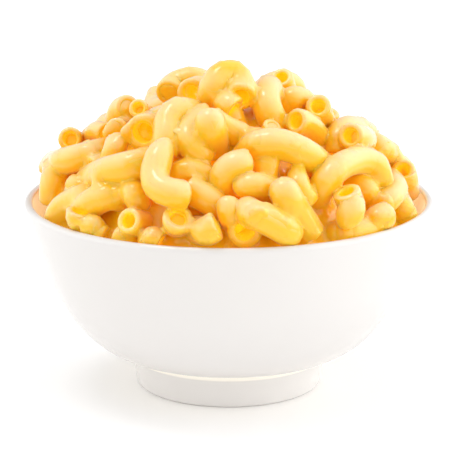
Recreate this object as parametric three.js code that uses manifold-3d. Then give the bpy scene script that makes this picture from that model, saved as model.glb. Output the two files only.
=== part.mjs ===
// A white footed bowl heaped with elbow macaroni in cheese sauce.
// Millimetres, +Z up. The origin is the middle of the foot's underside.
import Module from 'manifold-3d';
import * as THREE from 'three';
import { mergeVertices } from 'three/addons/utils/BufferGeometryUtils.js';

const wasm = await Module();
wasm.setup();

// Bowl
const rimRadius = 70;
const bowlHeight = 65.6;
const wallThickness = 3;
const bodyStart = { radius: 34, height: 11.4, slopeDeg: 12.8, reach: 0.3 };
const bodyEnd = { leanDeg: 15, reach: 0.515 };
const floorHeight = 10.8; // inside, at the middle

// Foot
const footBaseRadius = 30.6;
const footTopRadius = 33.2;
const footEdgeRound = 1.2;
const footRingWidth = 4.6;
const recessDepth = 3.6;

// Heap
const foodGap = 0.3; // between the food and the bowl's inner wall
const edgeBelowRim = 3.5;
const crownHeight = 47; // of the heap over the rim
const crownRadius = 69; // where the crown would meet the rim's level
const coreDepth = 5; // how far the packed core lies under the crown

// The top layer of elbows
const elbow = {
  rings: 5,
  spacing: 21, // along a ring
  tubeRadius: 4.7,
  bendRadius: 11,
  halfBendDeg: 62,
  sink: 3.4, // of the centre line under the crown
  unevenness: 1.6,
  turnDeg: 75,
  tiltDeg: 35,
  crowding: 0.3, // of the rings towards the rim, where the heap is steep
  nearest: 5, // first ring from the bowl's axis
  furthest: 60.5,
  lowest: bowlHeight,
  sides: 6,
  steps: 4,
};

// Facets
const sectors = 48;
const bodySteps = 7;
const lipSteps = 4;
const floorSteps = 2;
const domeSteps = 4;

const lipRadius = wallThickness / 2;
const mergeDistance = 1e-4;
const radians = THREE.MathUtils.degToRad;
const point = (radius, height) => new THREE.Vector2(radius, height);

// The outer face of the wall in profile, from the foot up to where the lip's round begins.
function bodyCurve() {
  const lean = radians(bodyEnd.leanDeg);
  const slope = radians(bodyStart.slopeDeg);
  const start = point(bodyStart.radius, bodyStart.height);
  const end = point(rimRadius, bowlHeight - lipRadius * (1 + Math.sin(lean)));
  const chord = start.distanceTo(end);
  const leave = point(Math.cos(slope), Math.sin(slope)).multiplyScalar(bodyStart.reach * chord);
  const arrive = point(Math.sin(lean), Math.cos(lean)).multiplyScalar(bodyEnd.reach * chord);
  return new THREE.CubicBezierCurve(start, start.clone().add(leave), end.clone().sub(arrive), end);
}

// Points of the wall's profile moved inwards, square to the outer face, from foot to lip.
function wallPoints(inset) {
  const curve = bodyCurve();
  return Array.from({ length: bodySteps + 1 }, (_, step) => {
    const along = step / bodySteps;
    const tangent = curve.getTangent(along);
    const inwards = point(-tangent.y, tangent.x).multiplyScalar(inset);
    return curve.getPoint(along).add(inwards);
  });
}

// The rounded inside floor, from the axis out to where the wall takes over.
function floorPoints(lift) {
  const wallFoot = wallPoints(wallThickness + lift)[1];
  const next = wallPoints(wallThickness + lift)[2];
  const slope = (next.y - wallFoot.y) / (next.x - wallFoot.x);
  const height = floorHeight + lift;
  const handle = point(wallFoot.x - (wallFoot.y - height) / slope, height);
  return new THREE.QuadraticBezierCurve(point(0, height), handle, wallFoot).getPoints(floorSteps);
}

function arcPoints(centre, radius, fromDeg, toDeg, steps) {
  return Array.from({ length: steps + 1 }, (_, step) => {
    const angle = radians(THREE.MathUtils.lerp(fromDeg, toDeg, step / steps));
    return point(centre.x + radius * Math.cos(angle), centre.y + radius * Math.sin(angle));
  });
}

// Turns a closed profile about Z. The profile runs up the outside and down the inside.
function turned(profile) {
  return new THREE.LatheGeometry(profile, sectors).rotateX(Math.PI / 2);
}

function bowlGeometry() {
  const ringInner = footBaseRadius - footRingWidth;
  const edgeCentre = point(footBaseRadius, footEdgeRound);
  const outer = wallPoints(0);
  const lipCentre = outer[bodySteps].clone().add(wallPoints(wallThickness)[bodySteps]).multiplyScalar(0.5);
  const lip = arcPoints(lipCentre, lipRadius, -bodyEnd.leanDeg, 180 - bodyEnd.leanDeg, lipSteps);
  const innerWall = wallPoints(wallThickness).slice(2, bodySteps).reverse();
  return turned([
    point(0, recessDepth),
    point(ringInner - footEdgeRound, recessDepth),
    point(ringInner, 0),
    ...arcPoints(edgeCentre, footEdgeRound, -90, -15, 2),
    point(footTopRadius, bodyStart.height - footEdgeRound),
    ...outer.slice(0, bodySteps),
    ...lip,
    ...innerWall,
    ...floorPoints(0).reverse(),
  ]);
}

// Height of the heap's crown over a point of the floor plan.
const crownAt = (radius) => bowlHeight + crownHeight * (1 - (radius / crownRadius) ** 2);

// Even, repeatable numbers from -1 to 1 for the elbow with this index.
const scatter = (index, salt) => (Math.sin(index * 12.9898 + salt * 78.233) * 43758.5453) % 1;

// Keeps a point of a centre line within reach of the bowl's wall and over its rim.
function keptIn(place) {
  const radius = Math.hypot(place.x, place.y);
  const inwards = Math.min(1, elbow.furthest / radius);
  return place.set(place.x * inwards, place.y * inwards, Math.max(place.z, elbow.lowest));
}

// One elbow's bent centre line, lying on the crown with its own turn and tilt.
function elbowCurve(radius, around, index) {
  const outwards = new THREE.Vector3(Math.cos(around), Math.sin(around), 0);
  const height = crownAt(radius) - elbow.sink + elbow.unevenness * scatter(index, 1);
  const place = outwards.clone().multiplyScalar(radius).setZ(height);
  const steepness = (2 * crownHeight * radius) / crownRadius ** 2;
  const normal = outwards.clone().multiplyScalar(steepness).setZ(1).normalize();
  const sideways = new THREE.Vector3(-outwards.y, outwards.x, 0);
  sideways.applyAxisAngle(normal, radians(elbow.turnDeg) * scatter(index, 2));
  const bendwards = normal.clone().cross(sideways);
  bendwards.applyAxisAngle(sideways, radians(elbow.tiltDeg) * scatter(index, 3));
  const halfBend = radians(elbow.halfBendDeg);
  const middle = (1 + Math.cos(halfBend)) / 2;
  const points = Array.from({ length: elbow.steps + 1 }, (_, step) => {
    const angle = THREE.MathUtils.lerp(-halfBend, halfBend, step / elbow.steps);
    const across = elbow.bendRadius * Math.sin(angle);
    const bulge = elbow.bendRadius * (Math.cos(angle) - middle);
    return keptIn(place.clone().addScaledVector(sideways, across).addScaledVector(bendwards, bulge));
  });
  return new THREE.CatmullRomCurve3(points);
}

function elbowGeometry(centreLine) {
  const section = new THREE.Shape(arcPoints(point(0, 0), elbow.tubeRadius, 0, 360, elbow.sides));
  const settings = { steps: elbow.steps, bevelEnabled: false, extrudePath: centreLine };
  return new THREE.ExtrudeGeometry(section, settings);
}

// Elbows in rings about the axis, closer together down the steep side than over the top.
function elbowCurves() {
  const curves = [];
  for (let ring = 0; ring < elbow.rings; ring++) {
    const share = ring / (elbow.rings - 1);
    const outwards = share * (1 + elbow.crowding * (1 - share));
    const radius = THREE.MathUtils.lerp(elbow.nearest, elbow.furthest, outwards);
    const count = Math.round((2 * Math.PI * radius) / elbow.spacing);
    for (let place = 0; place < count; place++) {
      const around = (2 * Math.PI * (place + 0.5 * (ring % 2))) / count;
      curves.push(elbowCurve(radius, around, curves.length));
    }
  }
  return curves;
}

// The packed core that the top layer of elbows lies on.
function coreGeometry() {
  const wall = wallPoints(wallThickness + foodGap).slice(2);
  const edge = wall.pop();
  edge.x -= edgeBelowRim * Math.tan(radians(bodyEnd.leanDeg));
  edge.y -= edgeBelowRim;
  const top = crownAt(0) - coreDepth;
  const dome = Array.from({ length: domeSteps }, (_, step) => {
    const radius = edge.x * (1 - (step + 1) / domeSteps);
    return point(radius, THREE.MathUtils.lerp(top, edge.y, (radius / edge.x) ** 2));
  });
  return turned([...floorPoints(foodGap), ...wall, edge, ...dome]);
}

// A closed mesh as a solid that can be joined to others.
function solidOf(geometry) {
  geometry.deleteAttribute('normal');
  geometry.deleteAttribute('uv');
  const merged = mergeVertices(geometry, mergeDistance);
  const corners = Array.from(merged.index.array);
  const faces = Array.from({ length: corners.length / 3 }, (_, face) => corners.slice(3 * face, 3 * face + 3));
  const whole = faces.filter(([a, b, c]) => a !== b && b !== c && c !== a);
  const vertProperties = new Float32Array(merged.attributes.position.array);
  const triVerts = new Uint32Array(whole.flat());
  return new wasm.Manifold(new wasm.Mesh({ numProp: 3, vertProperties, triVerts }));
}

function heapGeometry() {
  let heap = solidOf(coreGeometry());
  for (const centreLine of elbowCurves()) heap = heap.add(solidOf(elbowGeometry(centreLine)));
  const shells = heap.decompose(); // the outside, and any hollow that elbows close between them
  const outside = shells.reduce((largest, shell) => (shell.volume() > largest.volume() ? shell : largest));
  const { vertProperties, triVerts } = outside.getMesh();
  const geometry = new THREE.BufferGeometry();
  geometry.setAttribute('position', new THREE.BufferAttribute(vertProperties, 3));
  geometry.setIndex(new THREE.BufferAttribute(triVerts, 1));
  geometry.computeVertexNormals();
  return geometry;
}

function part(name, geometry, look) {
  const mesh = new THREE.Mesh(geometry, new THREE.MeshStandardMaterial({ metalness: 0, ...look }));
  mesh.name = name;
  return mesh;
}

const macAndCheese = new THREE.Group();
macAndCheese.add(part('bowl', bowlGeometry(), { color: 0xf6f4f1, roughness: 0.15 }));
macAndCheese.add(part('macaroni_heap', heapGeometry(), { color: 0xf7c75a, roughness: 0.4 }));

export default macAndCheese;
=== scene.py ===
# A white bowl heaped with elbow macaroni in cheese sauce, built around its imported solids.
import bpy
import math
import openvdb
import numpy as np
from functools import partial
from mathutils import Matrix, Vector


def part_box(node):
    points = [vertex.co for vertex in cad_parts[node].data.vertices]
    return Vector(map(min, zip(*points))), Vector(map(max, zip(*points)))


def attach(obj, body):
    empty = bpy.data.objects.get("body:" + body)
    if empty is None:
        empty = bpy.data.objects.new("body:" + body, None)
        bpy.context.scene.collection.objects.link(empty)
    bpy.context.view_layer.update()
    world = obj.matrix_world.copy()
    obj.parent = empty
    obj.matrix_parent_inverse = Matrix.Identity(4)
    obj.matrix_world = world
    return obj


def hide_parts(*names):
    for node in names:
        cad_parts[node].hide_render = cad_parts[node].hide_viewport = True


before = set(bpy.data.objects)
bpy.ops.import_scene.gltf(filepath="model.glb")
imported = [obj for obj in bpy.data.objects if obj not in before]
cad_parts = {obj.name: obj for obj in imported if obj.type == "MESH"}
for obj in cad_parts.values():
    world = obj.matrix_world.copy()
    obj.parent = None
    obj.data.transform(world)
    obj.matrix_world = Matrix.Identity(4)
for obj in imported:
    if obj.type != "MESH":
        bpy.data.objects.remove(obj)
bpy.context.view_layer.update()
print("frame loaded")

mm = 0.001  # lengths below are in millimetres, meshes in metres


def unit(v):
    return v / np.maximum(np.linalg.norm(v, axis=-1, keepdims=True), 1e-12)


def inScene(name, data):
    made = bpy.data.objects.new(name, data)
    bpy.context.scene.collection.objects.link(made)
    return made


def onPoints(mesh, name, values):
    made = mesh.attributes.new(name, "FLOAT", "POINT")
    made.data.foreach_set("value", np.ravel(values).astype(np.float32))


def distanceAlong(line):
    return np.concatenate([[0], np.cumsum(np.linalg.norm(np.diff(line, axis=0), axis=1))])


def meshObject(name, points, faces, smooth=True):
    mesh = bpy.data.meshes.new(name)
    mesh.from_pydata((np.asarray(points) * mm).tolist(), [], faces)
    mesh.validate()
    if smooth:
        mesh.shade_smooth()
    return inScene(name, mesh)


def turned(profile, sectors, closed=False):
    # rings about Z; a profile point on the axis becomes one pole
    points, rings, faces = [], [], []
    for radius, height in profile:
        count = 1 if radius < 1e-6 else sectors
        rings.append(range(len(points), len(points) + count))
        for k in range(count):
            turn = 2 * math.pi * k / sectors
            points.append((radius * math.cos(turn), radius * math.sin(turn), height))
    for lower, upper in zip(rings, rings[1:] + rings[:1] * closed):
        for k in range(sectors):
            j = (k + 1) % sectors
            if len(lower) == 1:
                faces.append((lower[0], upper[j], upper[k]))
            elif len(upper) == 1:
                faces.append((lower[k], lower[j], upper[0]))
            else:
                faces.append((lower[k], lower[j], upper[j], upper[k]))
    return points, faces


def bezier(corners, count):
    t = np.linspace(0, 1, count)[:, None]
    a, b, c, d = (np.array(p, float) for p in corners)
    return (1 - t) ** 3 * a + 3 * (1 - t) ** 2 * t * b + 3 * (1 - t) * t ** 2 * c + t ** 3 * d


def arc(centre, radius, fromDeg, toDeg, count):
    angle = np.radians(np.linspace(fromDeg, toDeg, count))
    return np.stack([centre[0] + radius * np.cos(angle), centre[1] + radius * np.sin(angle)], 1)


def plainMesh(piece):
    # swaps the mesh for its evaluated self and drops the modifiers
    seen = piece.evaluated_get(bpy.context.evaluated_depsgraph_get())
    mesh = bpy.data.meshes.new_from_object(seen)
    piece.modifiers.clear()
    piece.data = mesh
    return piece


view = {
    "place": (0.0, -800.0, 261.0),
    "pitchDeg": 14.44,  # down from level
    "yawDeg": 0.06,
    "focalPx": 2401.0,
    "imagePx": 453,
    "pxPerMm": 2.95,  # at the heap
    "sensorMm": 36.0,
    "heapSpan": (690.0, 930.0),  # how far from the camera a sight line is searched for the heap
    "searchStep": 0.25,
}


def makeCamera():
    lens = bpy.data.cameras.new("camera")
    lens.sensor_width = view["sensorMm"]
    lens.lens = view["focalPx"] / view["imagePx"] * view["sensorMm"]
    lens.clip_end = 20
    camera = inScene("camera", lens)
    camera.location = Vector(view["place"]) * mm
    camera.rotation_euler = (math.radians(90 - view["pitchDeg"]), 0, math.radians(view["yawDeg"]))
    bpy.context.scene.camera = camera


def viewAxes():
    # right, up and forward of the camera, in the bowl's frame
    turn = Matrix.Rotation(math.radians(view["yawDeg"]), 3, "Z")
    tip = Matrix.Rotation(math.radians(90 - view["pitchDeg"]), 3, "X")
    m = np.array(turn @ tip)
    return m[:, 0], m[:, 1], -m[:, 2]


viewRight, viewUp, viewAhead = viewAxes()
viewPlace = np.array(view["place"])


def sightLine(px, py):
    half = view["imagePx"] / 2
    across = (px - half) / view["focalPx"]
    down = (py - half) / view["focalPx"]
    return viewAhead + viewRight * across - viewUp * down


def pixelPlace(points):
    # pixel place and depth of points in mm
    v = points - viewPlace
    depth = v @ viewAhead
    half = view["imagePx"] / 2
    px = half + view["focalPx"] * (v @ viewRight) / depth
    py = half - view["focalPx"] * (v @ viewUp) / depth
    return px, py, depth


makeCamera()
print("camera placed")


bowlLow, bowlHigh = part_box("bowl")
bowl = {
    "rimRadius": bowlHigh.x / mm,
    "height": 65.6,
    "wall": 3.0,
    "bodyStart": (34.0, 11.4),  # where the body leaves the foot
    "startSlopeDeg": 12.8,
    "startReach": 0.3,
    "rimLeanDeg": 15.0,
    "rimReach": 0.515,
    "floorHeight": 10.8,
    "footBase": 30.6,
    "footTop": 33.2,
    "footRing": 4.6,
    "footRound": 1.2,
    "recess": 3.6,
    "recessFlat": 6.0,  # where its flat ends, in from the foot's ring
    "recessEdge": 2.4,  # and where its rounded side begins
    "recessRound": 1.4,
    "ringRound": 0.8,  # of the foot's own round, at the ring's inner edge
    "neck": ((-0.25, 9.0), (0.0, 10.6), (0.1, 11.2)),  # out from the foot's top, and height
    "neckEnd": (35.2, 11.75),
    "bodyFrom": 35.6,  # radius from which the body's own curve is used
    "floorBend": 0.6,
    "insideSlack": 0.1,
    "insideFrom": 10,  # height from which it counts
    "sectors": 192,
    "bodySteps": 56,
    "floorSteps": 14,
    "lipSteps": 14,
}


def bodyProfile(inset, count):
    # the outer face of the wall, moved inwards by inset, from foot to lip
    lean, slope = math.radians(bowl["rimLeanDeg"]), math.radians(bowl["startSlopeDeg"])
    start = np.array(bowl["bodyStart"])
    end = np.array([bowl["rimRadius"], bowl["height"] - bowl["wall"] / 2 * (1 + math.sin(lean))])
    chord = np.linalg.norm(end - start)
    leave = start + bowl["startReach"] * chord * np.array([math.cos(slope), math.sin(slope)])
    arrive = end - bowl["rimReach"] * chord * np.array([math.sin(lean), math.cos(lean)])
    line = bezier((start, leave, arrive, end), count)
    tangent = unit(np.gradient(line, axis=0))
    return line + inset * np.stack([-tangent[:, 1], tangent[:, 0]], 1)


def insideProfile(gap, count=48):
    # the inner face from the middle of the floor up to the lip, gap clear of the wall
    wall = bodyProfile(bowl["wall"] + gap, count)[count // 7:]
    slope = (wall[1] - wall[0])[1] / (wall[1] - wall[0])[0]
    level = bowl["floorHeight"] + gap
    handle = (wall[0][0] - (wall[0][1] - level) / slope, level)
    flat = (handle[0] * bowl["floorBend"], level)
    floor = bezier(((0, level), flat, handle, wall[0]), bowl["floorSteps"])
    return np.concatenate([floor[:-1], wall])


def wallRadius(height):
    radius, level = insideProfile(0)[bowl["floorSteps"]:].T
    return np.interp(height, level, radius)


def makeBowl():
    base, top, edge = bowl["footBase"], bowl["footTop"], bowl["footRound"]
    ringInner = base - bowl["footRing"]
    outer = bodyProfile(0, bowl["bodySteps"])
    middle = (outer[-1] + bodyProfile(bowl["wall"], bowl["bodySteps"])[-1]) / 2
    lean = bowl["rimLeanDeg"]
    lip = arc(middle, bowl["wall"] / 2, -lean, 180 - lean, bowl["lipSteps"])[1:-1]
    recess, side, small = bowl["recess"], ringInner - bowl["recessEdge"], edge * bowl["ringRound"]
    under = [(0, recess), (ringInner - bowl["recessFlat"], recess), (side, recess)]
    under += arc((side, recess - bowl["recessRound"]), bowl["recessRound"], 90, 20, 5).tolist()
    under += arc((ringInner + small, small), small, 190, 270, 5).tolist()
    foot = arc((base, edge), edge, -90, -8, 7).tolist()
    neck = bezier((*((top + out, height) for out, height in bowl["neck"]), bowl["neckEnd"]), 8).tolist()
    start = int(np.searchsorted(outer[:, 0], bowl["bodyFrom"]))
    profile = under + foot + neck + outer[start:].tolist() + lip.tolist()
    profile += insideProfile(0)[::-1].tolist()
    points, faces = turned(profile, bowl["sectors"])
    piece = meshObject("bowlShell", points, faces)
    place = np.array(points)
    # the inner face, where the glaze gets its painted glow
    within = np.hypot(place[:, 0], place[:, 1]) < wallRadius(place[:, 2]) + bowl["insideSlack"]
    onPoints(piece.data, "inside", within & (place[:, 2] > bowl["insideFrom"]))
    return piece


bowlShell = makeBowl()
print("bowl turned")


easing = {
    "rounds": 60,
    "share": 0.84,  # of two tubes' radii that their centre lines keep apart
    "deepest": -3.5,  # lift under which a line is left alone
    "neighbours": 40.0,  # mm between the middles of elbows that can meet
    "pace": 0.3,
    "reach": 4.5,  # in samples along the line
    "most": 0.8,  # mm in a round
    "homing": 0.06,  # pull back towards the marks
}

heap = {
    "rise": 47.0,  # of the crown over the rim
    "reach": 69.0,  # radius where the crown meets the rim's level
    "tube": 4.6,  # outer radius of an elbow
    "furthest": 65.5,  # that a centre line may lie from the bowl's axis
    "seed": 11,
    "samples": 11,  # points kept along each centre line
    "spread": 64.0,  # of the elbows that fill in, from the bowl's axis
    "girths": (0.9, 1.1),
    "bendRadius": (9.5, 13.0),
    "halfBendDeg": (48.0, 70.0),
    "pitchDeg": 24.0,
    "skyline": 205.0,  # lowest py that the marked elbows' outline is taken to have
    "mostLowered": 6.0,  # how far an elbow may be lowered to stay under that outline
    "frontFrom": 0.05,  # how much a place faces the camera before it counts as the front
    "reachOfElbow": 32.0,  # mm between the middles of elbows that are tested against each other
    "layers": (  # lift from, to, tries, least distance as a share, mm under the rim, whether in front too
        (0.0, 2.5, 9000, 0.82, 0.0, False),
        (-2.5, 1.5, 9000, 0.74, 2.0, False),
        (-5.0, -2.5, 8000, 0.74, 5.0, True),
        (-8.0, -5.0, 5000, 0.76, 7.0, True),
    ),
    "pressIn": 0.2,  # mm that an elbow may press into the wall
    "bendUp": 0.6,  # of a bend that lies upright, against one that lies flat
    "offNormal": 0.1,
}

# Elbows on the near side, as the camera sees them: girth, then (px, py, lift of the centre line over its
# bed in mm) from one end to the other. A fourth number narrows the elbow there.
lyingMarks = {
    # left
    "paleBack": (0.75, (107, 133, 1), (98, 131, 2), (90, 139, 0), (84, 147, -5)),
    "longLeft": (1.0, (50, 172, -2), (53, 165, 4), (66, 161, 5), (84, 156, 5), (100, 152, 2),
                 (111, 150, -5)),
    "leftDrop": (1.0, (60, 166, 0), (55, 176, 3), (53, 187, 2), (52, 202, -1)),
    "leftTip": (0.8, (72, 184, 2), (81, 188, 0), (92, 196, -5)),
    "leftCurl": (1.0, (96, 195, -3), (86, 197, 2), (72, 202, 3), (60, 212, 3), (56, 227, 0)),
    "bigLeft": (1.08, (82, 214, -2), (89, 206, 5), (100, 199, 6), (112, 197, 5, 0.92), (121, 202, -1, 0.7)),
    "midArc": (1.14, (90, 182, -3), (103, 174, 3), (120, 169, 5), (138, 165, 5), (156, 161, -1)),
    "cutEnd": (0.85, (92, 168, 2), (103, 164, 0), (116, 160, -5)),
    "paleBlock": (0.85, (117, 142, 3), (114, 152, 3), (108, 166, -2)),
    "peek": (0.9, (128, 186, -1), (134, 193, 0), (139, 203, -4)),
    "rimStrip": (0.8, (82, 226, -1), (93, 231, 0), (105, 237, 0)),
    "rimLeft": (0.9, (112, 238, 0), (124, 241, 0), (137, 244, 0)),
    "hookRim": (0.85, (161, 242, 2), (152, 238, 1), (147, 250, -2)),
    # upper left
    "tallTube": (1.05, (164, 156, 0), (167, 140, 1), (168, 124, 2), (174, 113, 3), (186, 112, 1),
                 (197, 117, -3)),
    "topArc": (1.0, (168, 93, 1), (174, 86, 1), (186, 81, 1), (200, 82, -1), (212, 90, -6)),
    "capLeft": (1.02, (207, 119, 1), (198, 122, 4), (190, 131, 6), (188, 141, 6), (196, 151, 4),
                (206, 162, 0)),
    "capRight": (0.95, (209, 117, 2), (219, 125, 4), (232, 132, 3), (244, 138, 1), (253, 146, -4)),
    # crown
    "underTop": (1.0, (214, 93, 0), (224, 101, 2), (234, 110, 0)),
    "blush": (1.0, (229, 105, -1), (231, 117, 2), (236, 131, 2)),
    "fatUpright": (1.08, (269, 88, 1), (266, 98, 4), (268, 110, 4), (274, 122, 1), (282, 131, -6)),
    "whiteTip": (0.7, (273, 126, 3), (267, 135, -2), (259, 145, -6)),
    "archRight": (0.95, (284, 107, -4), (290, 100, 2), (299, 99, 3), (307, 106, 2), (311, 119, -4)),
    # upper right
    "backBend": (1.0, (367, 135, -4), (356, 130, 1), (345, 130, 3), (339, 139, 3), (338, 154, 0)),
    "ridged": (0.95, (364, 142, -1), (379, 147, 2), (390, 157, 2), (397, 169, -4)),
    "longRight": (1.1, (251, 157, -3), (253, 147, 3), (269, 143, 6), (288, 146, 7), (305, 154, 6),
                  (319, 165, 3), (331, 175, -4)),
    "bigArc": (1.0, (316, 200, -3), (321, 188, 4), (331, 174, 7), (345, 164, 7), (362, 160, 7),
               (377, 167, 6), (380, 182, 3), (376, 197, -4)),
    "inArc": (0.95, (350, 184, -3), (365, 189, 1), (372, 204, -2)),
    "kneeRight": (0.88, (376, 213, -2), (384, 204, 2), (393, 195, 3), (395, 186, 2), (389, 177, -4)),
    "lobeRight": (1.0, (360, 230, -3), (371, 225, 2), (381, 220, 4), (390, 216, 3)),
    "endRight": (0.95, (408, 229, -1), (406, 218, 1), (401, 208, 0), (396, 197, -4)),
    "rimRight": (1.02, (315, 239, 0), (330, 237, 4), (346, 234, 5), (362, 231, 4), (380, 226, 0)),
    # middle and front
    "jayElbow": (1.05, (167, 142, 2, 0.4), (162, 150, 4, 0.85), (157, 164, 6), (155, 178, 7), (161, 189, 7),
                 (173, 193, 6), (185, 195, 3)),
    "behindJay": (1.0, (171, 187, -1), (181, 174, 3), (196, 173, 3), (208, 181, 2), (214, 193, -4)),
    "blushLow": (1.05, (188, 189, 0), (203, 197, 2), (215, 205, 1), (225, 215, -5)),
    "wristLeft": (0.85, (228, 204, 3), (229, 213, 4), (232, 222, 2), (238, 232, -3)),
    "capFill": (1.1, (209, 119, 2), (212, 132, 3), (214, 146, 2), (216, 160, -1)),
    "behindCap": (0.95, (176, 128, -1), (177, 142, 1), (180, 157, 0), (184, 170, -3)),
    "laden": (1.05, (246, 210, -2), (257, 217, 5), (270, 224, 6), (285, 232, 5), (301, 242, 2)),
    "tri": (1.1, (283, 190, 0), (288, 199, 6), (295, 210, 7), (303, 222, 6), (312, 237, 3)),
    "stubLeft": (1.0, (243, 190, 1), (249, 186, 5), (260, 187, 6), (272, 191, 5), (286, 197, 1),
                 (297, 204, -6)),
    "tip": (0.9, (299, 169, 3, 0.5), (298, 178, 3, 0.85), (299, 189, 3), (308, 202, 0)),
    "dome": (0.98, (267, 159, 0), (265, 169, 3), (266, 181, 1), (272, 193, -5)),
    "shortEnd": (0.9, (241, 160, 0), (245, 154, 3), (251, 147, 1), (257, 139, -4)),
    "hookMid": (1.02, (245, 163, 0), (234, 165, 3), (226, 172, 4), (224, 182, 3), (230, 194, -2)),
}

# Elbows that show an open end: girth, the end's (px, py, lift), then (px, py, mm further from the camera
# than that end) along the elbow.
endOnMarks = {
    "leftBead": (0.9, (70, 139, 6), (74, 142, 10), (83, 147, 18)),
    "leftCup": (0.95, (69, 213, 4), (73, 226, 3), (87, 234, -1), (105, 241, -8)),
    "ladenEnd": (0.8, (116, 129, 4), (121, 128, 9), (130, 127, 18)),
    "curlTop": (0.92, (128, 107, 3), (121, 110, 5), (117, 121, 9)),
    "curlFront": (0.7, (138, 108, 5), (143, 114, 10), (150, 121, 17)),
    "openLeft": (1.35, (143, 133, 8), (152, 129, 7), (162, 124, 8), (170, 122, 14)),
    "ringTop": (1.05, (191, 93, 5), (198, 90, 9), (208, 92, 18)),
    "topmost": (1.12, (241, 98, 5), (240, 86, 6), (232, 74, 9), (220, 79, 9), (213, 91, 8), (212, 104, 11)),
    "crownCup": (0.88, (281, 77, 3), (285, 89, 5), (290, 104, 9)),
    "ringCrown": (0.92, (318, 106, 5), (320, 113, 9), (325, 125, 17)),
    "ovalEnd": (0.95, (295, 121, 5), (307, 125, 4), (317, 137, 8), (323, 151, 14)),
    "ringRight": (0.98, (350, 136, 7), (355, 137, 8), (364, 140, 18)),
    "ringEdge": (0.92, (403, 170, 3), (406, 179, 8), (408, 192, 15)),
    "shortCup": (1.0, (346, 191, 9), (350, 202, 2), (355, 213, 2), (361, 224, 6)),
    "ringLeft": (0.95, (127, 221, 5), (141, 223, 9), (155, 227, 16)),
    "ringFront": (1.06, (177, 219, 10), (178, 223, 7), (180, 228, 14)),
    "cupBehind": (0.95, (145, 197, 3), (139, 196, 6), (130, 194, 12)),
    "cylinder": (1.05, (216, 231, 6), (207, 231, 5), (196, 230, 12)),
    "openFront": (1.25, (245, 231, 6), (243, 226, 10), (239, 219, 18)),
}

# The sauce stands level with the rims of these
closedEnds = ("topArc", "whiteTip", "jayElbow", "tip", "bigLeft", "lobeRight", "tri", "ladenEnd",
              "curlTop", "rimStrip", "rimLeft", "capFill")


def crown(radius):
    return bowl["height"] + heap["rise"] * (1 - (radius / heap["reach"]) ** 2)


def liftOf(points):
    # how far points stand over the bed that the outer elbows' centre lines lie on
    radius = np.hypot(points[..., 0], points[..., 1])
    slope = 2 * heap["rise"] * radius / heap["reach"] ** 2
    return (points[..., 2] - crown(radius)) / np.sqrt(1 + slope ** 2) + heap["tube"]


def clearRadius(height, girth):
    # how far out a centre line may lie: clear of the wall, and above it clear of the lip's round edge
    lipRadius = bowl["wall"] / 2
    wall = wallRadius(np.minimum(height, bowl["height"])) - heap["tube"] * girth + heap["pressIn"]
    above = height - (bowl["height"] - lipRadius)
    reach = heap["tube"] * girth + lipRadius
    over = bowl["rimRadius"] - lipRadius - np.sqrt(np.maximum(reach ** 2 - above ** 2, 0))
    return np.minimum(np.where(above > 0, np.maximum(wall, over), wall), heap["furthest"])


def keptIn(points, girth):
    radius = np.hypot(points[..., 0], points[..., 1])
    share = np.minimum(1, clearRadius(points[..., 2], girth) / np.maximum(radius, 1e-6))
    return points * np.stack([share, share, np.ones_like(share)], -1)


def onSight(px, py, lift, girth):
    # the first point of the sight line at that lift, or its nearest pass over the heap
    t = np.arange(*view["heapSpan"], view["searchStep"])[:, None]
    ray = viewPlace + t * sightLine(px, py)
    over = liftOf(ray)
    beyond = np.hypot(ray[:, 0], ray[:, 1]) - clearRadius(ray[:, 2], girth)
    under = np.flatnonzero((over <= lift) & (beyond <= 0))
    pick = under[0] if len(under) else int(np.argmin(over + np.maximum(beyond, 0)))
    return ray[pick]


def smoothLine(corners, values, count):
    # a Catmull-Rom line through the corners, with even steps, and the values along it
    p = np.column_stack([corners, values])
    p = np.concatenate([[2 * p[0] - p[1]], p, [2 * p[-1] - p[-2]]])
    t = np.linspace(0, 1, 12, endpoint=False)[:, None]
    bits = []
    for a, b, c, d in zip(p, p[1:], p[2:], p[3:]):
        bits.append(0.5 * (2 * b + (c - a) * t + (2 * a - 5 * b + 4 * c - d) * t ** 2
                           + (3 * b - a - 3 * c + d) * t ** 3))
    line = np.concatenate(bits + [p[-2:-1]])
    far = distanceAlong(line[:, :3])
    even = np.linspace(0, far[-1], count)
    line = np.stack([np.interp(even, far, line[:, k]) for k in range(4)], 1)
    return line[:, :3], line[:, 3]


def markedElbows():
    lines, girths = [], []
    for girth, *marks in lyingMarks.values():
        corners = [onSight(px, py, lift, girth) for px, py, lift, *_ in marks]
        narrow = [[*more, 1.0][0] for _, _, _, *more in marks]
        line, share = smoothLine(corners, narrow, heap["samples"])
        lines.append(line)
        girths.append(girth * share)
    for girth, (px, py, lift), *marks in endOnMarks.values():
        end = onSight(px, py, lift, girth)
        depth = (end - viewPlace) @ viewAhead
        corners = [end] + [viewPlace + sightLine(x, y) * (depth + behind) for x, y, behind in marks]
        line, share = smoothLine(corners, [1.0] * len(corners), heap["samples"])
        lines.append(line)
        girths.append(girth * share)
    return np.array(lines), np.array(girths)


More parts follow.
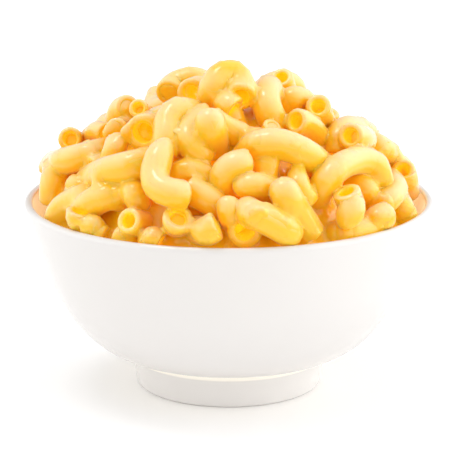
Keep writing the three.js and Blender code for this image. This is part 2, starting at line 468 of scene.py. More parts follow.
def eased(lines, girths):
    # bends crossing elbows apart along the lines of sight, so that the view stays; what lies deep is left
    start = lines.copy()
    shallow = liftOf(lines) > easing["deepest"]
    middles = lines.mean(1)
    apart = np.linalg.norm(middles[:, None] - middles[None], axis=2)
    near = apart < easing["neighbours"]
    pairs = [(i, j) for i in range(len(lines)) for j in range(i + 1, len(lines)) if near[i, j]]
    steps = np.arange(heap["samples"])
    for _ in range(easing["rounds"]):
        depth = (lines - viewPlace) @ viewAhead
        shift = np.zeros(depth.shape)
        for i, j in pairs:
            gap = np.linalg.norm(lines[i][:, None] - lines[j][None], axis=2)
            need = easing["share"] * heap["tube"] * (girths[i][:, None] + girths[j][None])
            over = np.where(shallow[i][:, None] & shallow[j][None], need - gap, -1)
            if over.max() <= 0:
                continue
            a, b = np.unravel_index(over.argmax(), over.shape)
            along = depth[i][a] - depth[j][b]
            aside = max(gap[a, b] ** 2 - along ** 2, 0)
            push = math.sqrt(max(need[a, b] ** 2 - aside, 0)) - abs(along)
            side = easing["pace"] if along >= 0 else -easing["pace"]
            shift[i] += side * push * np.exp(-((steps - a) / easing["reach"]) ** 2)
            shift[j] -= side * push * np.exp(-((steps - b) / easing["reach"]) ** 2)
        nearer = 1 + np.clip(shift, -easing["most"], easing["most"]) / depth
        lines = viewPlace + (lines - viewPlace) * nearer[..., None]
        lines = lines + easing["homing"] * (start - lines)
        lines = keptIn(lines, girths)
    return lines


def randomElbow(rng, lift, spread):
    # one bent centre line lying on the heap, turned and tilted at random
    radius = spread * math.sqrt(rng.uniform(0, 1))
    around = rng.uniform(0, 2 * math.pi)
    out = np.array([math.cos(around), math.sin(around), 0])
    slope = 2 * heap["rise"] * radius / heap["reach"] ** 2
    normal = unit(out * slope + np.array([0, 0, 1]))
    place = out * radius + np.array([0, 0, crown(radius)]) + normal * (lift - heap["tube"])
    spin = rng.uniform(0, 2 * math.pi)
    flat = unit(np.cross(normal, [math.cos(spin), math.sin(spin), heap["offNormal"]]))
    side = np.cross(normal, flat)
    pitch = math.radians(rng.normal(0, heap["pitchDeg"]))
    ahead = flat * math.cos(pitch) + normal * math.sin(pitch)
    upright = np.cross(ahead, side)
    roll = rng.uniform(0, 2 * math.pi)
    bend = side * math.cos(roll) + heap["bendUp"] * upright * math.sin(roll)
    bend = unit(bend - ahead * (bend @ ahead))
    size, half = rng.uniform(*heap["bendRadius"]), math.radians(rng.uniform(*heap["halfBendDeg"]))
    angle = np.linspace(-half, half, heap["samples"])[:, None]
    middle = (1 + math.cos(half)) / 2
    return place + size * (np.sin(angle) * ahead + (np.cos(angle) - middle) * bend)


def filledIn(lines, girths):
    # more elbows wherever there is room: the outer layer away from the marked side, then deeper ones
    rng = np.random.default_rng(heap["seed"])
    px, py, _ = pixelPlace(lines.reshape(-1, 3))
    size = girths.ravel() * heap["tube"] * view["pxPerMm"]
    columns = np.arange(view["imagePx"])
    sky = np.full(view["imagePx"], heap["skyline"])  # highest outline of the marked elbows in each column
    for x, y, r in zip(px, py, size):
        reach = np.abs(columns - x) < r
        sky[reach] = np.minimum(sky[reach], y - np.sqrt(r ** 2 - (columns[reach] - x) ** 2))
    middles = lines.mean(1)
    for low, high, tries, share, under, front in heap["layers"]:
        for _ in range(tries):
            girth = rng.uniform(*heap["girths"])
            line = randomElbow(rng, rng.uniform(low, high), heap["spread"])
            line = keptIn(line, girth)
            if not front and facing(line.mean(0)) > heap["frontFrom"]:
                continue
            x, y, _ = pixelPlace(line)
            top = y - girth * heap["tube"] * view["pxPerMm"]
            column = np.clip(x, 0, view["imagePx"] - 1).astype(int)
            tooHigh = (sky[column] + 1 - top).max() / view["pxPerMm"]
            line[:, 2] -= max(tooHigh, 0)
            if tooHigh > heap["mostLowered"] or line[:, 2].min() < bowl["height"] - under:
                continue
            near = np.linalg.norm(middles - line.mean(0), axis=1) < heap["reachOfElbow"]
            gap = np.linalg.norm(lines[near][:, :, None] - line[None, None], axis=3)
            if (gap.min(2) > share * heap["tube"] * (girths[near] + girth)).all():
                lines = np.concatenate([lines, line[None]])
                girths = np.concatenate([girths, np.full((1, heap["samples"]), girth)])
                middles = lines.mean(1)
        print("elbows so far:", len(lines))
    return lines, girths


def facing(point):
    # how much the heap's surface under a point faces the camera
    radius = np.hypot(point[0], point[1])
    slope = 2 * heap["rise"] / heap["reach"] ** 2
    normal = unit(np.array([point[0] * slope, point[1] * slope, 1.0]))
    return -normal @ viewAhead


lines, girths = markedElbows()
lines = eased(lines, girths)
lines, girths = filledIn(lines, girths)
print("elbows placed")


tube = {
    "length": 26.0,
    "wall": 2.15,
    "sides": 18,
    "steps": 13,
    "boreSteps": 8,
    "rimSteps": 3,
    "relief": 0.22,
    "reliefSize": 7.0,
}


def makeBlank():
    # a straight hollow tube along Z that each elbow is bent from
    outer, inner = heap["tube"], heap["tube"] - tube["wall"]
    length, half = tube["length"], tube["wall"] / 2
    middle = (outer + inner) / 2
    sides = [(outer, z) for z in np.linspace(half, length - half, tube["steps"])]
    top = arc((middle, length - half), half, 0, 180, tube["rimSteps"] + 2)[1:-1].tolist()
    inside = [(inner, z) for z in np.linspace(length - half, half, tube["boreSteps"])]
    bottom = arc((middle, half), half, 180, 360, tube["rimSteps"] + 2)[1:-1].tolist()
    points, faces = turned(sides + top + inside + bottom, tube["sides"], closed=True)
    return meshObject("tubeBlank", points, faces)


def lineHost():
    # every centre line as a chain of edges, with its girth on the points
    count = heap["samples"]
    edges = [(i * count + k, i * count + k + 1) for i in range(len(lines)) for k in range(count - 1)]
    mesh = bpy.data.meshes.new("macaroni")
    mesh.from_pydata((lines.reshape(-1, 3) * mm).tolist(), edges, [])
    onPoints(mesh, "girth", girths)
    return inScene("macaroni", mesh)


def outputOf(node, name):
    # by number, or the one of that name that is in use for the node's data type
    if isinstance(name, int):
        return node.outputs[name]
    named = [socket for socket in node.outputs if socket.name == name]
    return next((socket for socket in named if socket.enabled), named[0])


def fill(tree, node, inputs):
    # each input takes a plain value, or a node and the name or number of its output
    for name, source in inputs.items():
        if isinstance(source, tuple) and isinstance(source[0], bpy.types.Node):
            tree.links.new(outputOf(*source), node.inputs[name])
        else:
            node.inputs[name].default_value = source


def addNode(tree, kind, inputs=None, **settings):
    made = tree.nodes.new(kind)
    for name, value in settings.items():
        setattr(made, name, value)
    fill(tree, made, inputs or {})
    return made


def elbowTree():
    tree = bpy.data.node_groups.new("elbowsAlongLines", "GeometryNodeTree")
    face = tree.interface
    for label, kind in (("Geometry", "Geometry"), ("Blank", "Object"), ("Blank Length", "Float"),
                        ("Relief", "Float"), ("Relief Size", "Float"), ("Seed", "Int"),
                        ("Material", "Material")):
        face.new_socket(label, in_out="INPUT", socket_type="NodeSocket" + kind)
    face.new_socket("Geometry", in_out="OUTPUT", socket_type="NodeSocketGeometry")
    make = partial(addNode, tree)
    scale = partial(make, "ShaderNodeVectorMath", operation="SCALE")
    add = partial(make, "ShaderNodeVectorMath", operation="ADD")

    # a blank for each line, with the line's number and a tone of its own
    start = make("NodeGroupInput")
    curve = make("GeometryNodeMeshToCurve", {"Mesh": (start, "Geometry")})
    spline = make("GeometryNodeCurveSplineType", {"Curve": (curve, "Curve")}, spline_type="CATMULL_ROM")
    count = make("GeometryNodeAttributeDomainSize", {0: (spline, "Curve")}, component="CURVE")
    points = make("GeometryNodePoints", {"Count": (count, "Spline Count")})
    blank = make("GeometryNodeObjectInfo", {"Object": (start, "Blank")})
    copies = make("GeometryNodeInstanceOnPoints", {"Points": (points, 0), "Instance": (blank, "Geometry")})
    number = make("GeometryNodeInputIndex")
    store = make("GeometryNodeStoreNamedAttribute", {
        "Geometry": (copies, "Instances"), "Name": "elbow", "Value": (number, "Index"),
    }, data_type="INT", domain="INSTANCE")
    dice = make("FunctionNodeRandomValue", {"Seed": (start, "Seed")}, data_type="FLOAT")
    tone = make("GeometryNodeStoreNamedAttribute", {
        "Geometry": (store, "Geometry"), "Name": "tone", "Value": (dice, "Value"),
    }, data_type="FLOAT", domain="INSTANCE")
    real = make("GeometryNodeRealizeInstances", {"Geometry": (tone, "Geometry")})

    # bent along its line, as wide as the line says
    which = make("GeometryNodeInputNamedAttribute", {"Name": "elbow"}, data_type="INT")
    wide = make("GeometryNodeInputNamedAttribute", {"Name": "girth"}, data_type="FLOAT")
    here = make("GeometryNodeInputPosition")
    parts = make("ShaderNodeSeparateXYZ", {"Vector": (here, "Position")})
    share = make("ShaderNodeMath", {0: (parts, "Z"), 1: (start, "Blank Length")}, operation="DIVIDE",
                 use_clamp=True)
    sample = make("GeometryNodeSampleCurve", {
        "Curves": (spline, "Curve"), "Value": (wide, "Attribute"), "Factor": (share, 0),
        "Curve Index": (which, "Attribute"),
    }, mode="FACTOR", data_type="FLOAT", use_all_curves=False)
    other = make("ShaderNodeVectorMath", {0: (sample, "Tangent"), 1: (sample, "Normal")},
                 operation="CROSS_PRODUCT")
    alongX = scale({0: (sample, "Normal"), "Scale": (parts, "X")})
    alongY = scale({0: (other, "Vector"), "Scale": (parts, "Y")})
    both = add({0: (alongX, "Vector"), 1: (alongY, "Vector")})
    sized = scale({0: (both, "Vector"), "Scale": (sample, "Value")})
    place = add({0: (sample, "Position"), 1: (sized, "Vector")})
    bent = make("GeometryNodeSetPosition", {"Geometry": (real, "Geometry"), "Position": (place, "Vector")})

    # a slightly uneven skin
    inverse = make("ShaderNodeMath", {0: 1, 1: (start, "Relief Size")}, operation="DIVIDE")
    noise = make("ShaderNodeTexNoise", {"Scale": (inverse, 0), "W": (start, "Seed")}, noise_dimensions="4D")
    centred = make("ShaderNodeMath", {0: (noise, 0), 1: 0.5}, operation="SUBTRACT")
    swell = make("ShaderNodeMath", {0: (centred, 0), 1: (start, "Relief")}, operation="MULTIPLY")
    normal = make("GeometryNodeInputNormal")
    offset = scale({0: (normal, "Normal"), "Scale": (swell, 0)})
    bulged = make("GeometryNodeSetPosition", {"Geometry": (bent, "Geometry"), "Offset": (offset, "Vector")})

    smooth = make("GeometryNodeSetShadeSmooth", {0: (bulged, "Geometry")})
    whole = make("GeometryNodeRealizeInstances", {"Geometry": (smooth, 0)})
    finish = make("GeometryNodeSetMaterial", {
        "Geometry": (whole, "Geometry"), "Material": (start, "Material"),
    })
    make("NodeGroupOutput", {"Geometry": (finish, "Geometry")})
    return tree


def setInput(modifier, name, value):
    # a modifier's input goes by the socket's identifier
    for item in modifier.node_group.interface.items_tree:
        if item.item_type == "SOCKET" and item.in_out == "INPUT" and item.name == name:
            modifier[item.identifier] = value


def makeMacaroni(material):
    blank, host = makeBlank(), lineHost()
    elbows = host.modifiers.new("elbows", "NODES")
    elbows.node_group = elbowTree()
    setInput(elbows, "Blank", blank)
    setInput(elbows, "Blank Length", tube["length"] * mm)
    setInput(elbows, "Relief", 2 * tube["relief"] * mm)
    setInput(elbows, "Relief Size", tube["reliefSize"] * mm)
    setInput(elbows, "Seed", heap["seed"])
    setInput(elbows, "Material", material)
    plainMesh(host)
    bpy.data.objects.remove(blank)
    print("macaroni triangles:", sum(len(p.vertices) - 2 for p in host.data.polygons))
    return host


sauce = {
    "grain": 0.85,  # step of the grid it is worked out on
    "space": ((-71, -71, 9), (71, 71, 121)),
    "farAway": 99.0,  # past everything
    "background": 9.0,  # of the volume that its skin is drawn from
    "nothingNear": 1e-4,
    "tubeReach": 4.5,  # round an elbow's skin, where it draws the sauce
    "coreReach": 20,
    "runTogether": 0.4,  # how softly neighbours join
    "coreDepth": 7.5,  # of the core's top under the crown
    "backDip": 4.0,  # how much deeper it lies from behind the crown on
    "backDipFrom": (-20.0, 8.0),  # y where the dip begins and where it is whole
    "gap": 0.15,  # to the bowl's wall
    "film": -0.2,  # mean thickness over the tubes' skin
    "filmSpread": 0.22,
    "filmLimits": (-0.35, 0.7),
    "filmSize": 11.0,  # of its thick and thin patches
    "rippleSpread": 0.09,
    "rippleSize": 4.0,
    "waveSpread": (0.7, 1.6),
    "recess": (5.0, 9.0),  # how far inside an open end it stands
    "mouth": 1.2,  # how far a hole goes on outside the end
    "holeSlack": 0.45,  # its radius over the bore's
    "boreSlack": 0.3,  # the same for what counts as bore
    "holeSteps": 6,
    "lumpBlend": 0.8,  # how softly a lump joins
    "lumpReach": 4,
    "holeReach": 6,
    "sightSpan": (690.0, 900.0, 0.4),  # from the camera, where a lump's place is looked for
    "adaptivity": 0.25,  # how far flat stretches are made of larger faces
    "shelterReach": 3.5,  # of what counts as surroundings when the painted shade of a crevice is worked out
    "shelterLift": 2.5,  # off the surface, of the place that is looked at
    "shelterRise": 1.5,  # and straight up, so that undersides count as more sheltered and get more painted shade
    "boreBlur": 0.6,  # in grid steps
    "boreLift": 0.3,
    "seed": 5,
}

# Lumps of sauce on the near side: (px, py, radius in mm)
lumpMarks = {
    "leftShine": (46, 163, 1.6), "upperDrop": (108, 132, 1.5), "upperDropTwo": (124, 131, 1.3),
    "lump": (96, 177, 1.7), "lumpTwo": (95, 187, 1.4), "midDrop": (155, 209, 1.2),
    "topDrop": (204, 107, 1.6),
    "curlDrop": (125, 111, 1.0), "ladenShine": (113, 126, 1.0), "hookDrop": (151, 236, 1.1),
    "whiteDrop": (268, 206, 1.4), "whiteDropTwo": (276, 214, 1.2), "rightDrop": (377, 216, 1.3),
    "pinkDrop": (324, 210, 1.5), "middleDrop": (208, 220, 1.3),
    "ladenDrop": (256, 210, 0.9), "ladenDropTwo": (263, 209, 1.1), "ladenDropThree": (287, 222, 0.8),
    "ladenDropFour": (298, 227, 0.8), "rimDrop": (228, 243, 1.5),
}


def rodDistance(points, line, radii):
    # to the skin of a solid bent rod with flat ends
    best = np.full(points.shape[:-1], sauce["farAway"], np.float32)
    under = (points - line[0]) @ unit(line[0] - line[1])
    over = (points - line[-1]) @ unit(line[-1] - line[-2])
    for k, (a, b) in enumerate(zip(line, line[1:])):
        length = np.linalg.norm(b - a)
        ahead = (b - a) / length
        along = (points - a) @ ahead
        share = np.clip(along / length, 0, 1)
        foot = a + (share * length)[..., None] * ahead
        far = np.linalg.norm(points - foot, axis=-1) - (radii[k] + share * (radii[k + 1] - radii[k]))
        best = np.minimum(best, np.maximum(far, under if k < len(line) / 2 else over))
    return best


class Field:
    # distances on an even grid round the heap; near things are looked up and changed by slices
    def __init__(self, low, high, step):
        self.axes = [np.arange(a, b, step) for a, b in zip(low, high)]
        self.low, self.step = np.array(low), step
        self.sum = np.full([len(axis) for axis in self.axes], sauce["nothingNear"], np.float32)
        self.bore = np.zeros(self.sum.shape, np.float32)

    def slices(self, low, high):
        start = np.maximum(((low - self.low) / self.step).astype(int), 0)
        stop = ((high - self.low) / self.step).astype(int) + 2
        return tuple(slice(a, b) for a, b in zip(start, stop))

    def points(self, box):
        return np.stack(np.meshgrid(*[axis[s] for axis, s in zip(self.axes, box)], indexing="ij"), -1)


def patchy(axes, size, seed, waves=18):
    # an uneven field of mean 0 and spread 1, from waves in all directions
    rng = np.random.default_rng(seed)
    total = 0
    for _ in range(waves):
        wide = size * rng.uniform(*sauce["waveSpread"])
        number = 2 * math.pi / wide * unit(rng.normal(size=3))
        x, y, z = (np.exp(1j * k * axis).astype(np.complex64) for k, axis in zip(number, axes))
        phase = np.exp(2j * math.pi * rng.uniform())
        total = total + ((phase * x)[:, None, None] * y[None, :, None] * z).real
    return (total / math.sqrt(waves / 2)).astype(np.float32)


def sauceField():
    soft = sauce["runTogether"]
    field = Field(*sauce["space"], sauce["grain"])
    for line, girth in zip(lines, girths):
        reach = heap["tube"] * girth.max() + sauce["tubeReach"]
        box = field.slices(line.min(0) - reach, line.max(0) + reach)
        far = rodDistance(field.points(box), line, heap["tube"] * girth)
        field.sum[box] += np.exp(-far / soft)
    x, y, z = (axis.astype(np.float32) for axis in field.axes)
    radius = np.hypot(x[:, None], y[None, :])[..., None]
    steep = np.hypot(1, 2 * heap["rise"] * radius / heap["reach"] ** 2)
    core = (z - crown(radius)) / steep + sauce["coreDepth"]
    core += (sauce["backDip"] * np.interp(y, sauce["backDipFrom"], (0, 1)))[None, :, None]
    field.sum += np.exp(-np.clip(core, -sauce["coreReach"], sauce["coreReach"]) / soft)
    far = -soft * np.log(field.sum)
    film = sauce["film"] + sauce["filmSpread"] * patchy(field.axes, sauce["filmSize"], sauce["seed"])
    film += sauce["rippleSpread"] * patchy(field.axes, sauce["rippleSize"], sauce["seed"] + 1)
    far -= np.clip(film, *sauce["filmLimits"])
    far = withLumps(field, far)
    far = withHoles(field, far)
    inside = insideProfile(sauce["gap"])
    most = np.interp(z, inside[:, 1], inside[:, 0], left=-5, right=sauce["farAway"])
    field.far = np.maximum(far, radius - most)
    field.filled = np.clip(0.5 - field.far / field.step, 0, 1)
    field.filled[(radius >= most) & (z < bowl["height"])] = 1
    return field


def withLumps(field, far):
    # a round lump where each mark's sight line first meets the sauce
    soft = sauce["lumpBlend"]
    for px, py, size in lumpMarks.values():
        ray = viewPlace + np.arange(*sauce["sightSpan"])[:, None] * sightLine(px, py)
        at = ((ray - field.low) / field.step).round().astype(int)
        at = at[((at >= 0) & (at < far.shape)).all(1)]
        met = at[np.argmax(far[at[:, 0], at[:, 1], at[:, 2]] < 0)]
        place = field.low + met * field.step
        reach = size + sauce["lumpReach"]
        box = field.slices(place - reach, place + reach)
        lump = np.linalg.norm(field.points(box) - place, axis=-1) - size
        far[box] = -soft * np.log(np.exp(-far[box] / soft) + np.exp(-lump / soft))
    return far


def withHoles(field, far):
    # opens the tubes' ends again, each to its own depth along its bend, and notes where the bores are
    rng = np.random.default_rng(sauce["seed"])
    names = list(lyingMarks) + list(endOnMarks)
    closed = [names.index(name) for name in closedEnds]
    steps = sauce["holeSteps"]
    for number, (line, girth) in enumerate(zip(lines, girths)):
        if number in closed:
            continue
        for path, share in ((line, girth[0]), (line[::-1], girth[-1])):
            inner = (heap["tube"] - tube["wall"]) * share
            along = distanceAlong(path)
            depth = min(rng.uniform(*sauce["recess"]), along[-1] / 2)
            stations = np.linspace(0, depth, steps)
            way = np.stack([np.interp(stations, along, path[:, k]) for k in range(3)], 1)
            box = field.slices(way.min(0) - sauce["holeReach"], way.max(0) + sauce["holeReach"])
            points = field.points(box)
            bore = rodDistance(points, way, [inner + sauce["boreSlack"]] * steps) < 0
            way = np.concatenate([way[:1] + sauce["mouth"] * unit(way[0] - way[1]), way])
            hole = rodDistance(points, way, [inner + sauce["holeSlack"]] * (steps + 1))
            far[box] = np.maximum(far[box], -hole)
            field.bore[box] = np.maximum(field.bore[box], bore)
    return far


def blurred(values, reach):
    # a Gaussian blur, reach in grid steps
    wave = np.fft.rfftn(values)
    for axis, count in enumerate(values.shape):
        number = np.fft.rfftfreq(count) if axis == 2 else np.fft.fftfreq(count)
        shape = [-1 if k == axis else 1 for k in range(3)]
        wave = wave * np.exp(-2 * (math.pi * reach * number) ** 2).reshape(shape)
    return np.fft.irfftn(wave, s=values.shape)


def readOff(piece, name, field, values, off, rise):
    # stores on each point what a grid holds a little off the surface there
    count = len(piece.data.vertices)
    points, normals = np.empty(count * 3, np.float32), np.empty(count * 3, np.float32)
    piece.data.vertices.foreach_get("co", points)
    piece.data.vertices.foreach_get("normal", normals)
    seen = points.reshape(-1, 3) / mm + off * normals.reshape(-1, 3)
    seen[:, 2] += rise
    at = np.clip((seen - field.low) / field.step, 0, np.array(values.shape) - 1.001)
    low = at.astype(int)
    part = at - low
    total = np.zeros(count)
    for corner in np.ndindex(2, 2, 2):
        weight = np.prod(np.where(corner, part, 1 - part), axis=1)
        total += weight * values[tuple((low + corner).T)]
    onPoints(piece.data, name, total)


def largestIsland(count, edges):
    # which points belong to the largest linked set: labels of linked points shrink to one number
    label = np.arange(count)
    while True:
        low = np.minimum(label[edges[:, 0]], label[edges[:, 1]])
        new = label.copy()
        np.minimum.at(new, edges[:, 0], low)
        np.minimum.at(new, edges[:, 1], low)
        new = new[new]
        if (new == label).all():
            return label == np.bincount(label).argmax()
        label = new


def makeSauce(field):
    grid = openvdb.FloatGrid(sauce["background"])
    grid.copyFromArray(field.far.astype(np.float32))
    points, triangles, quads = grid.convertToPolygons(0.0, sauce["adaptivity"])
    points = field.low + points * field.step
    loops = [faces.astype(int) for faces in (triangles, quads) if len(faces)]
    edges = np.concatenate([np.stack([f, np.roll(f, -1, 1)], -1).reshape(-1, 2) for f in loops])
    keep = largestIsland(len(points), edges)
    number = np.cumsum(keep) - 1
    faces = [side for f in loops for side in number[f[keep[f[:, 0]]]].tolist()]
    piece = meshObject("cheeseSauce", points[keep], faces)
    print("sauce triangles:", sum(len(side) - 2 for side in faces))
    return piece


def shaderGroup(name, inputs, outputs):
    tree = bpy.data.node_groups.new(name, "ShaderNodeTree")
    for label, kind, value in inputs:
        socket = tree.interface.new_socket(label, in_out="INPUT", socket_type=kind)
        socket.default_value = value
    for label, kind in outputs:
        tree.interface.new_socket(label, in_out="OUTPUT", socket_type=kind)
    return tree


# how the food's colour is mixed: random patches and tone, with painted highlight and painted shade by
# facing and by shelter
filmShades = {
    "undersides": (0.75, -0.1),  # painted highlight and shade: upward share of the normal, from pale tops to rich undersides
    "underShare": 0.8,
    "patchShare": 0.3,
    "toneShare": 0.25,
    "start": -0.28,
    "sides": (0.02, 0.3),  # painted shade: shelter, from pale to rich
    "crevices": (0.25, 0.65),  # painted shade: shelter, from rich to deep
    "gloss": (0.22, 0.42),  # roughness over the patches
    "fineScale": 420.0,
    "fineDepth": 0.0006,  # metres
    "glossFrom": (0.3, 0.7),  # of the patches' noise
}


def creamyFilm():
    # patches of paler and richer sauce, painted highlight on tops, painted shade on sides, undersides,
    # crevices and bores, a painted glow in the bores, a roughness that varies with the patches, and fine
    # relief
    tree = shaderGroup("creamyFilm", (
        ("Pale", "NodeSocketColor", (1, 0.8, 0.4, 1)),
        ("Rich", "NodeSocketColor", (1, 0.6, 0.1, 1)),
        ("Deep", "NodeSocketColor", (1, 0.4, 0.01, 1)),
        ("Shelter", "NodeSocketFloat", 0.0),
        ("Bore", "NodeSocketFloat", 0.0),
        ("Patch Scale", "NodeSocketFloat", 90.0),
        ("Tone", "NodeSocketFloat", 0.5),
        ("Relief", "NodeSocketFloat", 0.1),
        ("Glow", "NodeSocketColor", (1, 0.5, 0, 1)),
    ), (
        ("Color", "NodeSocketColor"),
        ("Roughness", "NodeSocketFloat"),
        ("Normal", "NodeSocketVector"),
        ("Through Light", "NodeSocketColor"),
    ))
    make = partial(addNode, tree)
    spread = partial(make, "ShaderNodeMapRange")
    shades = filmShades
    start = make("NodeGroupInput")
    where = make("ShaderNodeTexCoord")
    patches = make("ShaderNodeTexNoise", {
        "Vector": (where, "Object"), "Scale": (start, "Patch Scale"), "Detail": 3,
    })
    geometry = make("ShaderNodeNewGeometry")
    parts = make("ShaderNodeSeparateXYZ", {"Vector": (geometry, "Normal")})
    # painted highlight and shade: paler where the normal faces up, richer on sides and undersides
    under = spread({
        "Value": (parts, "Z"), "From Min": shades["undersides"][0], "From Max": shades["undersides"][1],
        "To Max": shades["underShare"],
    })
    ownTone = make("ShaderNodeMath", {
        0: (start, "Tone"), 1: shades["toneShare"], 2: shades["start"],
    }, operation="MULTIPLY_ADD")
    patched = make("ShaderNodeMath", {
        0: (patches, 0), 1: shades["patchShare"], 2: (ownTone, 0),
    }, operation="MULTIPLY_ADD")
    lower = make("ShaderNodeMath", {0: (under, 0), 1: (patched, 0)}, operation="ADD")
    # painted shade: richer colour where a point is sheltered
    paintedShelterShade = spread({
        "Value": (start, "Shelter"), "From Min": shades["sides"][0], "From Max": shades["sides"][1],
    })
    richer = make("ShaderNodeMath", {0: (lower, 0), 1: (paintedShelterShade, 0)}, operation="ADD", use_clamp=True)
    colour = make("ShaderNodeMix", {
        "Factor": (richer, 0), 6: (start, "Pale"), 7: (start, "Rich"),
    }, data_type="RGBA")
    # painted shade: the deep colour in crevices and inside the bores
    depth = spread({
        "Value": (start, "Shelter"), "From Min": shades["crevices"][0], "From Max": shades["crevices"][1],
    }, interpolation_type="SMOOTHSTEP")
    hollow = make("ShaderNodeMath", {0: (depth, 0), 1: (start, "Bore")}, operation="ADD", use_clamp=True)
    withPaintedShade = make("ShaderNodeMix", {
        "Factor": (hollow, 0), 6: (colour, 2), 7: (start, "Deep"),
    }, data_type="RGBA")
    gloss = spread({
        "Value": (patches, 0), "From Min": shades["glossFrom"][0], "From Max": shades["glossFrom"][1],
        "To Min": shades["gloss"][0], "To Max": shades["gloss"][1],
    })
    fine = make("ShaderNodeTexNoise", {
        "Vector": (where, "Object"), "Scale": shades["fineScale"], "Detail": 2,
    })
    bump = make("ShaderNodeBump", {
        "Height": (fine, 0), "Strength": (start, "Relief"), "Distance": shades["fineDepth"],
    })
    # painted glow: emission inside the bores
    lit = make("ShaderNodeMix", {
        "Factor": (start, "Bore"), 6: (0, 0, 0, 1), 7: (start, "Glow"),
    }, data_type="RGBA")
    make("NodeGroupOutput", {
        "Color": (withPaintedShade, 2), "Roughness": (gloss, 0), "Normal": (bump, 0), "Through Light": (lit, 2),
    })
    return tree


def newMaterial(name):
    material = bpy.data.materials.new(name)
    material.use_nodes = True
    return material, material.node_tree, material.node_tree.nodes["Principled BSDF"]


def foodMaterial(name, film, look):
    material, tree, surface = newMaterial(name)
    sheltered = addNode(tree, "ShaderNodeAttribute", attribute_name="shelter")
    hollow = addNode(tree, "ShaderNodeAttribute", attribute_name="bore")
    group = addNode(tree, "ShaderNodeGroup", node_tree=film)
    fill(tree, group, {
        "Pale": (*look["pale"], 1), "Rich": (*look["rich"], 1), "Deep": (*look["deep"], 1),
        "Glow": (*look["glow"], 1), "Patch Scale": look["patchScale"], "Relief": look["relief"],
        "Shelter": (sheltered, "Fac"), "Bore": (hollow, "Fac"),
    })
    if look["perElbow"]:
        tone = addNode(tree, "ShaderNodeAttribute", attribute_name="tone")
        fill(tree, group, {"Tone": (tone, "Fac")})
    fill(tree, surface, {
        "Base Color": (group, "Color"),
        "Roughness": (group, "Roughness"),
        "Normal": (group, "Normal"),
        # painted glow inside the bores
        "Emission Color": (group, "Through Light"),
        "Emission Strength": look["paintedGlowStrength"],
        "Sheen Weight": look["sheen"],
        "Sheen Roughness": look["sheenRoughness"],
        "Sheen Tint": (*look["sheenTint"], 1),
        "Subsurface Weight": look["depth"],
        "Subsurface Radius": look["depthByColour"],
        "Subsurface Scale": look["depthMm"] * mm,
        "Specular IOR Level": look["specular"],
        "Coat Weight": look["coat"],
        "Coat Roughness": look["coatRoughness"],
    })
    return material


macaroniLook = {
    # pale goes on tops and rich on sides and undersides as painted highlight and shade, both also in random
    # patches; deep is painted shade in crevices and bores
    "pale": (0.96, 0.68, 0.32),
    "rich": (0.96, 0.54, 0.012),
    "deep": (0.97, 0.62, 0.002),
    "sheenTint": (1.0, 0.86, 0.6),  # pales an elbow towards its outline
    "sheen": 0.3,
    "sheenRoughness": 0.45,
    "glow": (1.0, 0.62, 0.01),  # painted glow: emission in the bores, standing in for light that the thin walls let through
    "paintedGlowStrength": 0.42,
    "patchScale": 70.0,
    "relief": 0.12,
    "depth": 0.4,
    "depthMm": 1.6,
    "depthByColour": (1.0, 0.3, 0.08),
    "specular": 0.15,
    "coat": 1.0,
    "coatRoughness": 0.17,
    "perElbow": True,
}
sauceLook = dict(macaroniLook, pale=(0.96, 0.67, 0.31), rich=(0.96, 0.54, 0.014), perElbow=False)


glazeLook = {
    "white": (0.765, 0.745, 0.725),
    "shade": (0.745, 0.72, 0.70),
    "cloudScale": 26.0,
    "gloss": (0.10, 0.22),  # roughness, least and most
    "rippleScale": 60.0,
    "ripple": 0.05,
    "rippleDepth": 0.0004,  # metres
    "coat": 0.3,
    "coatRoughness": 0.05,
    "paintedInsideGlow": (1.0, 0.9, 0.6),  # painted glow: emission on the inner wall, standing in for light that comes through the wall and off the food
    "paintedInsideGlowStrength": 0.25,
}


def glazeMaterial():
    material, tree, surface = newMaterial("whiteGlaze")
    make, look = partial(addNode, tree), glazeLook
    where = make("ShaderNodeTexCoord")
    cloud = make("ShaderNodeTexNoise", {
        "Vector": (where, "Object"), "Scale": look["cloudScale"], "Detail": 4,
    })
    tint = make("ShaderNodeMix", {
        0: (cloud, 0), 6: (*look["white"], 1), 7: (*look["shade"], 1),
    }, data_type="RGBA")
    gloss = make("ShaderNodeMapRange", {
        "Value": (cloud, 0), "To Min": look["gloss"][0], "To Max": look["gloss"][1],
    })
    ripple = make("ShaderNodeTexNoise", {"Vector": (where, "Object"), "Scale": look["rippleScale"]})
    bump = make("ShaderNodeBump", {
        "Height": (ripple, 0), "Strength": look["ripple"], "Distance": look["rippleDepth"],
    })
    # painted glow: the glaze's inner face gives off a warm light
    inside = make("ShaderNodeAttribute", attribute_name="inside")
    paintedInsideLight = make("ShaderNodeMix", {
        "Factor": (inside, "Fac"), 6: (0, 0, 0, 1), 7: (*look["paintedInsideGlow"], 1),
    }, data_type="RGBA")
    fill(tree, surface, {
        "Base Color": (tint, 2),
        "Roughness": (gloss, 0),
        "Normal": (bump, 0),
        "Emission Color": (paintedInsideLight, 2),
        "Emission Strength": look["paintedInsideGlowStrength"],
        "Coat Weight": look["coat"],
        "Coat Roughness": look["coatRoughness"],
    })
    return material


film = creamyFilm()
macaroniMaterial = foodMaterial("saucedMacaroni", film, macaroniLook)
sauceMaterial = foodMaterial("cheeseSauce", film, sauceLook)
bowlShell.data.materials.append(glazeMaterial())
print("materials mixed")

macaroni = makeMacaroni(macaroniMaterial)
print("macaroni bent")
sauceSpace = sauceField()
cheeseSauce = makeSauce(sauceSpace)
cheeseSauce.data.materials.append(sauceMaterial)
print("sauce poured")

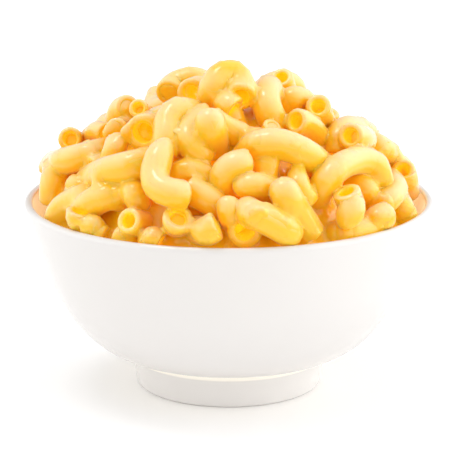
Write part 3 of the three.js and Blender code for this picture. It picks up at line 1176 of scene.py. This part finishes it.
# how enclosed each point is, for the painted shade in crevices and undersides, and where the bores are, for
# their painted shade and glow
surroundings = blurred(sauceSpace.filled, sauce["shelterReach"] / sauceSpace.step)
bores = blurred(sauceSpace.bore, sauce["boreBlur"])
for piece in (macaroni, cheeseSauce):
    readOff(piece, "shelter", sauceSpace, surroundings, sauce["shelterLift"], sauce["shelterRise"])
    readOff(piece, "bore", sauceSpace, bores, sauce["boreLift"], 0)
print("crevices found")

for piece, node, slot in (
    (bowlShell, "bowl", "bowl_glaze"),
    (macaroni, "macaroni_heap", "sauced_macaroni"),
    (cheeseSauce, "macaroni_heap", "sauced_macaroni"),
):
    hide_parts(node)
    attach(piece, "root")


studio = {
    "floorHalf": 6.0,
    "floorColour": (0.97, 0.965, 0.96),
    "floorRoughness": 0.7,
    "floorSpecular": 0.2,
    "sky": 0.61,  # strength of the room's light
    "skyRight": 0.38,  # more of it from the right than from the left
    "skySides": 1.7,  # and more from both sides than from the front
    "skyTop": 0.1,
    "softboxes": (  # direction it shines from, how wide it looks in degrees, power
        ("wide", (-0.1, 0.1, 1.0), 50.0, 0.1),
        ("small", (-0.3, 0.05, 1.0), 18.0, 0.52),
    ),
    "bounces": 12,
}


def makeFloor():
    half = studio["floorHalf"] / mm
    corners = [(-half, -half, 0), (half, -half, 0), (half, half, 0), (-half, half, 0)]
    floor = meshObject("floor", corners, [(0, 1, 2, 3)], smooth=False)
    material, tree, surface = newMaterial("paleFloor")
    fill(tree, surface, {
        "Base Color": (*studio["floorColour"], 1),
        "Roughness": studio["floorRoughness"],
        "Specular IOR Level": studio["floorSpecular"],
    })
    floor.data.materials.append(material)


def makeSoftbox(name, fromWhere, wideDeg, power):
    # a far softbox as a wide sun, so that the whole floor is lit evenly
    data = bpy.data.lights.new(name, "SUN")
    data.energy = power
    data.angle = math.radians(wideDeg)
    lamp = inScene(name, data)
    lamp.rotation_euler = Vector(fromWhere).to_track_quat("Z", "Y").to_euler()


def makeStudio():
    world = bpy.data.worlds.new("studio")
    world.use_nodes = True
    tree = world.node_tree
    make = partial(addNode, tree)
    where = make("ShaderNodeTexCoord")
    parts = make("ShaderNodeSeparateXYZ", {"Vector": (where, "Generated")})
    square = make("ShaderNodeMath", {0: (parts, "X"), 1: (parts, "X")}, operation="MULTIPLY")
    total = studio["sky"]
    for source, share in (((parts, "X"), "skyRight"), ((square, 0), "skySides"), ((parts, "Z"), "skyTop")):
        more = make("ShaderNodeMath", {0: source, 1: studio[share], 2: total}, operation="MULTIPLY_ADD")
        total = (more, 0)
    fill(tree, tree.nodes["Background"], {"Color": (1, 1, 1, 1), "Strength": total})
    bpy.context.scene.world = world
    for settings in studio["softboxes"]:
        makeSoftbox(*settings)
    bpy.context.scene.view_settings.view_transform = "Standard"
    bpy.context.scene.cycles.diffuse_bounces = studio["bounces"]


makeFloor()
makeStudio()
print("studio lit")
